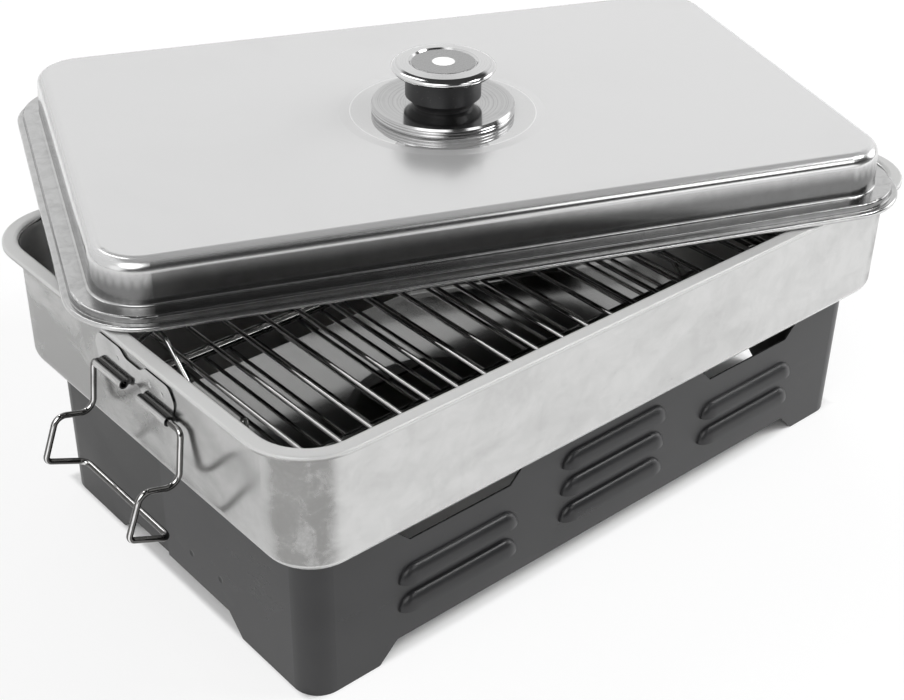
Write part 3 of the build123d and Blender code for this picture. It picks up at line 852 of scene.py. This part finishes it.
@dataclass(frozen=True)
class FloorPaper:
    """Pale seamless paper, white for the camera, and in mirrors a painted pool of light that glows white at
    the front right.

    It has no such white under the stand, and its own shade is what the object's shadow falls on.
    """

    stand: Pair
    stand_half: Pair = (0.188, 0.109)
    stand_edge: float = 0.004
    colour: Colour = (0.90, 0.90, 0.90)
    shade: Colour = (0.87, 0.87, 0.87)
    seen_white: float = 0.80
    mirrored: Pair = (0.05, 0.82)
    lit_side: tuple[float, float, float] = (0.7, -0.7, 0.0)
    lit_start: Pair = (-0.35, 0.15)
    lit_end: Pair = (0.45, 0.85)
    lit_far: float = 0.15
    tone: Clouds = Clouds(1.5)
    tooth: Clouds = Clouds(900.0)
    tooth_depth: float = 0.00005

    def make(self) -> bpy.types.Material:
        """The paper, with a tone that hardly varies and a fine tooth."""
        material, graph = new_material("floor_paper")
        at = graph.place()
        tooth = graph.noise(at, self.tooth)
        rays = graph.add("ShaderNodeLightPath")
        seen = Value(graph, rays.outputs["Is Camera Ray"])
        mirrored = Value(graph, rays.outputs["Is Glossy Ray"])
        past = (at - (*self.stand, 0.0)).sizes() - (*self.stand_half, 0.0)
        open_floor = past.part(X).at_least(past.part(Y)).ease(0.0, self.stand_edge)
        # Painted light: in mirrors the paper glows white towards the front right and fades away from it.
        lit = at.dot(self.lit_side).ease(*self.lit_start, *self.mirrored)
        lit = lit * (at.length() - at.part(X) * 0.5).ease(*self.lit_end, 1.0, self.lit_far)
        graph.surface(
            glow=(seen * self.seen_white + mirrored * lit) * open_floor,
            Base_Color=graph.blend(graph.noise(at, self.tone).ease(0.3, 0.8), self.colour, self.shade),
            Roughness=tooth.step(0.0, 1.0, 0.85, 0.95),
            Specular_IOR_Level=0.2,
            Normal=graph.bump(tooth, self.tooth_depth, 0.2),
        )
        return material


# ---------------------------------------------------------------- sub-assemblies
STAND_SHEETS = ("stand_front", "stand_back")


class Side(Enum):
    """The two ends of the box."""

    LEFT = "left"
    RIGHT = "right"


def both(*pieces: str) -> list[str]:
    """The names of pieces that each end has one of."""
    return [f"{piece}_{side.value}" for piece in pieces for side in Side]


def middle_of(*nodes: str) -> Pair:
    """The middle, seen from above, of the box round some nodes.

    Args:
        nodes: Names of CAD nodes.

    Returns:
        Its X and Y in metres.
    """
    boxes = [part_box(node) for node in nodes]
    low = [min(box[0][axis] for box in boxes) for axis in (X, Y)]
    high = [max(box[1][axis] for box in boxes) for axis in (X, Y)]
    return ((low[X] + high[X]) / 2, (low[Y] + high[Y]) / 2)


def dress(material: bpy.types.Material, slot: str, *nodes: str) -> None:
    """Give CAD nodes a finish.

    Args:
        material: The finish.
        slot: The record's material slot that it belongs to. Not used.
        nodes: Names of CAD nodes.
    """
    for name in nodes:
        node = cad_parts[name]
        node.data.materials.clear()
        node.data.materials.append(material)
        log.info("%s: %s", name, material.name)


@dataclass
class Stand:
    """The louvred stand of two bent sheets."""

    half: Pair = (0.190, 0.111)
    bend: float = 0.014

    def build(self) -> None:
        """Dress both sheets."""
        edge = Plan(middle_of(*STAND_SHEETS), self.half, self.bend)
        dress(StandPaint(edge).make(), "stand_paint", *STAND_SHEETS)


@dataclass
class SmokeTray:
    """The drawn tray with its handles' brackets."""

    rim_width: float = 0.008
    corner: float = 0.025
    sheet: float = 0.0008
    bracket: SheetSteel = SheetSteel(
        "bracket_steel",
        colour=(0.62, 0.62, 0.615),
        dull=(0.40, 0.40, 0.395),
        roughness=0.08,
        ripple=0.0006,
        # Painted shade on the plate's edges and on the barrels' sides.
        edge=(0.06, 0.06, 0.06),
    )

    def build(self) -> None:
        """Dress the tray and the brackets."""
        low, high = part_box("smoke_tray")
        half = tuple((high[axis] - low[axis]) / 2 - self.rim_width for axis in (X, Y))
        wall = Plan(middle_of("smoke_tray"), half, self.corner)
        dress(TraySteel(wall, floor=low.z + self.sheet, rim=high.z).make(), "tray_steel", "smoke_tray")
        dress(self.bracket.make(), "bright_steel", *both("handle_bracket"))


@dataclass
class Handles:
    """The two swinging wire bails."""

    wire: PlatedWire = PlatedWire(
        "handle_wire",
        # The dark colour is a painted reflection of the dark surroundings that the bails mirror.
        colour=(0.12, 0.118, 0.115),
        dull=(0.06, 0.059, 0.058),
        roughness=0.05,
        haze=0.06,
        crown=(0.80, 0.795, 0.79),
    )

    def build(self) -> None:
        """Dress both bails."""
        dress(self.wire.make(), "wire", *both("handle"))


@dataclass
class Grid:
    """The wire grid that carries the food."""

    wire: PlatedWire = PlatedWire("grid_wire", colour=(0.55, 0.545, 0.54), roughness=0.03, haze=0.05)

    def build(self) -> None:
        """Dress the frame, the cross wires, the rail, the legs and the loops."""
        wires = ("grid_frame", "grid_wires", "grid_rail", *both("grid_leg", "grid_loop"))
        dress(self.wire.make(), "wire", *wires)


@dataclass
class DripTray:
    """The thin polished pan on the tray's floor."""

    steel: SheetSteel = SheetSteel(
        "drip_steel",
        colour=(0.66, 0.66, 0.655),
        dull=(0.60, 0.60, 0.595),
        roughness=0.012,
        haze=0.01,
        relief=0.0000008,
        ripple=0.00001,
        rolled=Clouds(1300.0, 3.0, 0.6, 0.0, (0.1, 1.0, 1.0)),
    )

    def build(self) -> None:
        """Dress the pan."""
        dress(self.steel.make(), "tray_steel", "drip_tray")


@dataclass
class Lid:
    """The domed lid with its knob."""

    half: Pair = (0.2162, 0.1382)
    corner: float = 0.0384
    turn: float = -21.9
    dome_inset: float = 0.0128
    step_inset: float = 0.0036
    pad_radius: float = 0.0495
    pad_rise: float = 0.00045
    moulding: KnobMoulding = KnobMoulding()
    fastener: SheetSteel = SheetSteel("fastener_steel", roughness=0.2)

    def build(self) -> None:
        """Dress the shell, the knob and the screw under it."""
        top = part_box("lid_shell")[1].z - self.pad_rise
        axis = middle_of("knob_base")
        edge = Plan(middle_of("lid_shell"), self.half, self.corner, self.turn)
        steel = LidSteel(edge, axis, self.pad_radius, top, self.dome_inset, self.step_inset)
        base = SpunSteel(
            "knob_base_steel",
            axis,
            colour=(0.60, 0.60, 0.60),
            dull=(0.40, 0.40, 0.40),
            roughness=0.10,
            rings=7000.0,
            depth=0.000008,
        )
        cap = SpunSteel("knob_cap_steel", axis, roughness=0.09, depth=0.00001)
        dress(steel.make(), "lid_steel", "lid_shell")
        dress(base.make(), "lid_steel", "knob_base")
        dress(cap.make(), "lid_steel", "knob_cap")
        dress(MedallionSteel(axis).make(), "lid_steel", "knob_disc")
        dress(self.moulding.make(), "knob_moulding", "knob_neck")
        dress(self.fastener.make(), "bright_steel", "knob_washer", "knob_screw")


@dataclass
class Burners:
    """The two spirit burners inside the stand."""

    tin: SheetSteel = SheetSteel("burner_tin", colour=(0.70, 0.695, 0.68), roughness=0.27, ripple=0.00008)
    wad: FibreWad = FibreWad()
    cloth: WireCloth = WireCloth()

    def build(self) -> None:
        """Dress the cups with their plates, shutters, rivets, wads and gauzes."""
        metal = both("burner_cup", "burner_plate", "burner_rivet", "burner_shutter")
        dress(self.tin.make(), "tray_steel", *metal)
        dress(self.wad.make(), "wick", *both("burner_core"))
        dress(self.cloth.make(), "bright_steel", *both("burner_gauze"))


# ---------------------------------------------------------------- studio
@dataclass(frozen=True)
class Panel:
    """A soft round patch of light in the studio. Its edge lies between two angles in degrees."""

    towards: tuple[float, float, float]
    inner: float
    outer: float
    level: float

    def share(self, ray: Arrow) -> Value:
        """How much of the panel a ray sees.

        Args:
            ray: The ray's direction.

        Returns:
            From 0 outside the panel to 1 in it.
        """
        axis = Vector(self.towards).normalized()
        outer, inner = (math.cos(math.radians(angle)) for angle in (self.outer, self.inner))
        return ray.dot(tuple(axis)).ease(outer, inner)


@dataclass(frozen=True)
class Strip:
    """A long thin lamp overhead, seen in the wires. Its edges are parts of a ray's direction."""

    sides: Pair = (0.04, 0.07)
    near_end: Pair = (0.38, 0.46)
    far_end: Pair = (0.74, 0.80)
    rise: Pair = (0.3, 0.4)
    level: float = 4.5

    def share(self, ray: Arrow) -> Value:
        """How much of the strip a ray sees.

        Args:
            ray: The ray's direction.

        Returns:
            From 0 outside the strip to 1 in it.
        """
        long = ray.part(Y).ease(*self.near_end) * ray.part(Y).fall(*self.far_end)
        return ray.part(X).size().fall(*self.sides) * long * ray.part(Z).ease(*self.rise)


@dataclass(frozen=True)
class Backdrop:
    """The pale backdrop behind the object and the dim hall before it."""

    level: float = 0.86
    foot: Pair = (0.53, 0.64)
    slope: Pair = (-0.35, 0.30)
    drop: float = 0.32
    side: Pair = (-0.20, 0.12)
    hall: Pair = (0.26, 0.045)
    hall_rise: Pair = (0.02, 0.34)

    def brightness(self, ray: Arrow) -> Value:
        """How bright the surroundings are without their lamps.

        Args:
            ray: The ray's direction.

        Returns:
            The strength of the light.
        """
        height = ray.part(Z) - ray.part(X).ease(*self.slope, self.drop, 0.0)
        behind = height.fall(*self.foot) * ray.part(Y).ease(*self.side)
        hall = ray.part(Z).ease(*self.hall_rise, *self.hall)
        return behind * self.level + (1.0 - behind) * hall


@dataclass(frozen=True)
class SoftBox:
    """A square lamp that faces the object and isn't seen in mirrors."""

    name: str
    place: tuple[float, float, float]
    side: float
    watts: float
    aim: tuple[float, float, float] = (0.0, 0.0, 0.1)

    def hang(self) -> None:
        """Hang the lamp."""
        lamp = bpy.data.lights.new(self.name, "AREA")
        lamp.shape = "SQUARE"
        lamp.size = self.side
        lamp.energy = self.watts
        box = bpy.data.objects.new(self.name, lamp)
        box.location = self.place
        box.visible_glossy = False
        box.rotation_euler = (Vector(self.aim) - Vector(self.place)).to_track_quat("-Z", "Y").to_euler()
        bpy.context.scene.collection.objects.link(box)


@dataclass
class Studio:
    """The pale floor, the surroundings, the lamps and the camera."""

    floor_reach: float = 9.0
    floor_drop: float = 0.0002
    backdrop: Backdrop = Backdrop()
    strip: Strip = Strip()
    panels: tuple[Panel, ...] = (
        Panel((-0.60, -0.34, 0.70), 16.0, 27.0, 2.4),
        Panel((-0.95, -0.10, 0.25), 10.0, 20.0, 1.2),
        Panel((0.93, -0.25, 0.28), 12.0, 18.0, 2.4),
        Panel((0.16, -0.98, 0.02), 8.0, 16.0, 1.6),
        Panel((0.555, -0.38, 0.74), 6.0, 11.0, 8.0),
        Panel((0.22, -0.72, 0.65), 6.0, 12.0, 2.6),
    )
    lamps: tuple[SoftBox, ...] = (
        SoftBox("lamp_left", (-1.3, -0.6, 1.2), 1.2, 4.0),
        SoftBox("lamp_back", (0.8, 1.3, 1.5), 1.3, 11.0),
        SoftBox("lamp_right", (1.4, -1.0, 1.2), 1.1, 24.0),
    )

    def build(self) -> None:
        """Make the floor, the surroundings, the lamps and the camera."""
        self.lay_floor()
        self.light_surroundings()
        for lamp in self.lamps:
            lamp.hang()
        Viewpoint().build()

    def lay_floor(self) -> None:
        """Lay a wide sheet of paper under the object."""
        mesh = bpy.data.meshes.new("floor")
        signs = ((-1, -1), (1, -1), (1, 1), (-1, 1))
        corners = [(self.floor_reach * across, self.floor_reach * along, 0.0) for across, along in signs]
        mesh.from_pydata(corners, [], [(0, 1, 2, 3)])
        mesh.materials.append(FloorPaper(middle_of(*STAND_SHEETS)).make())
        floor = bpy.data.objects.new("floor", mesh)
        floor.location.z = -self.floor_drop
        bpy.context.scene.collection.objects.link(floor)

    def light_surroundings(self) -> None:
        """Give the world the backdrop, the hall and their lamps. The camera sees plain white instead."""
        world = bpy.data.worlds.new("studio")
        bpy.context.scene.world = world
        world.use_nodes = True
        graph = Graph(world.node_tree)
        ray = Arrow(graph, graph.add("ShaderNodeTexCoord").outputs["Generated"])
        level = self.backdrop.brightness(ray)
        for light in (*self.panels, self.strip):
            share = light.share(ray)
            level = level * (1.0 - share) + share * light.level
        seen = Value(graph, graph.add("ShaderNodeLightPath").outputs["Is Camera Ray"])
        strength = level * (1.0 - seen) + seen
        light = graph.add("ShaderNodeBackground", {}, {"Color": WHITE, "Strength": strength})
        graph.add("ShaderNodeOutputWorld", {}, {"Surface": Wire(graph, light.outputs[0])})


@dataclass
class Viewpoint:
    """The camera, placed from the middle of the stand."""

    azimuth: float = -41.308
    elevation: float = 32.782
    roll: float = 1.043
    aim_height: float = 0.084444
    slide: Pair = (-0.00955, -0.021301)
    distance: float = 0.832682
    lens: float = 61.56
    sensor: float = 36.0
    nearest: float = 0.01

    def build(self) -> None:
        """Make the camera and look through it."""
        turn, rise, roll = (math.radians(angle) for angle in (self.azimuth, self.elevation, self.roll))
        level = math.cos(rise)
        back = Vector((math.sin(turn) * level, -math.cos(turn) * level, math.sin(rise)))
        right = (-back).cross(Vector((0.0, 0.0, 1.0))).normalized()
        up = right.cross(-back)
        across = math.cos(roll) * right + math.sin(roll) * up
        upright = math.cos(roll) * up - math.sin(roll) * right
        middle = Vector((*middle_of(*STAND_SHEETS), self.aim_height))
        camera = bpy.data.cameras.new("camera")
        camera.lens = self.lens
        camera.sensor_width = self.sensor
        camera.clip_start = self.nearest
        holder = bpy.data.objects.new("camera", camera)
        place = middle + across * self.slide[0] + upright * self.slide[1] + back * self.distance
        axes = Matrix((across, upright, back)).transposed().to_4x4()
        holder.matrix_world = Matrix.Translation(place) @ axes
        bpy.context.scene.collection.objects.link(holder)
        bpy.context.scene.camera = holder


def main() -> None:
    """Dress the object, build the studio round it and use the Standard view transform."""
    logging.basicConfig(level=logging.INFO, format="%(message)s")
    assemblies = (Stand(), SmokeTray(), Handles(), Grid(), DripTray(), Lid(), Burners(), Studio())
    for assembly in assemblies:
        log.info("building %s", type(assembly).__name__)
        assembly.build()
    bpy.context.scene.view_settings.view_transform = "Standard"


if __name__ == "__main__":
    main()
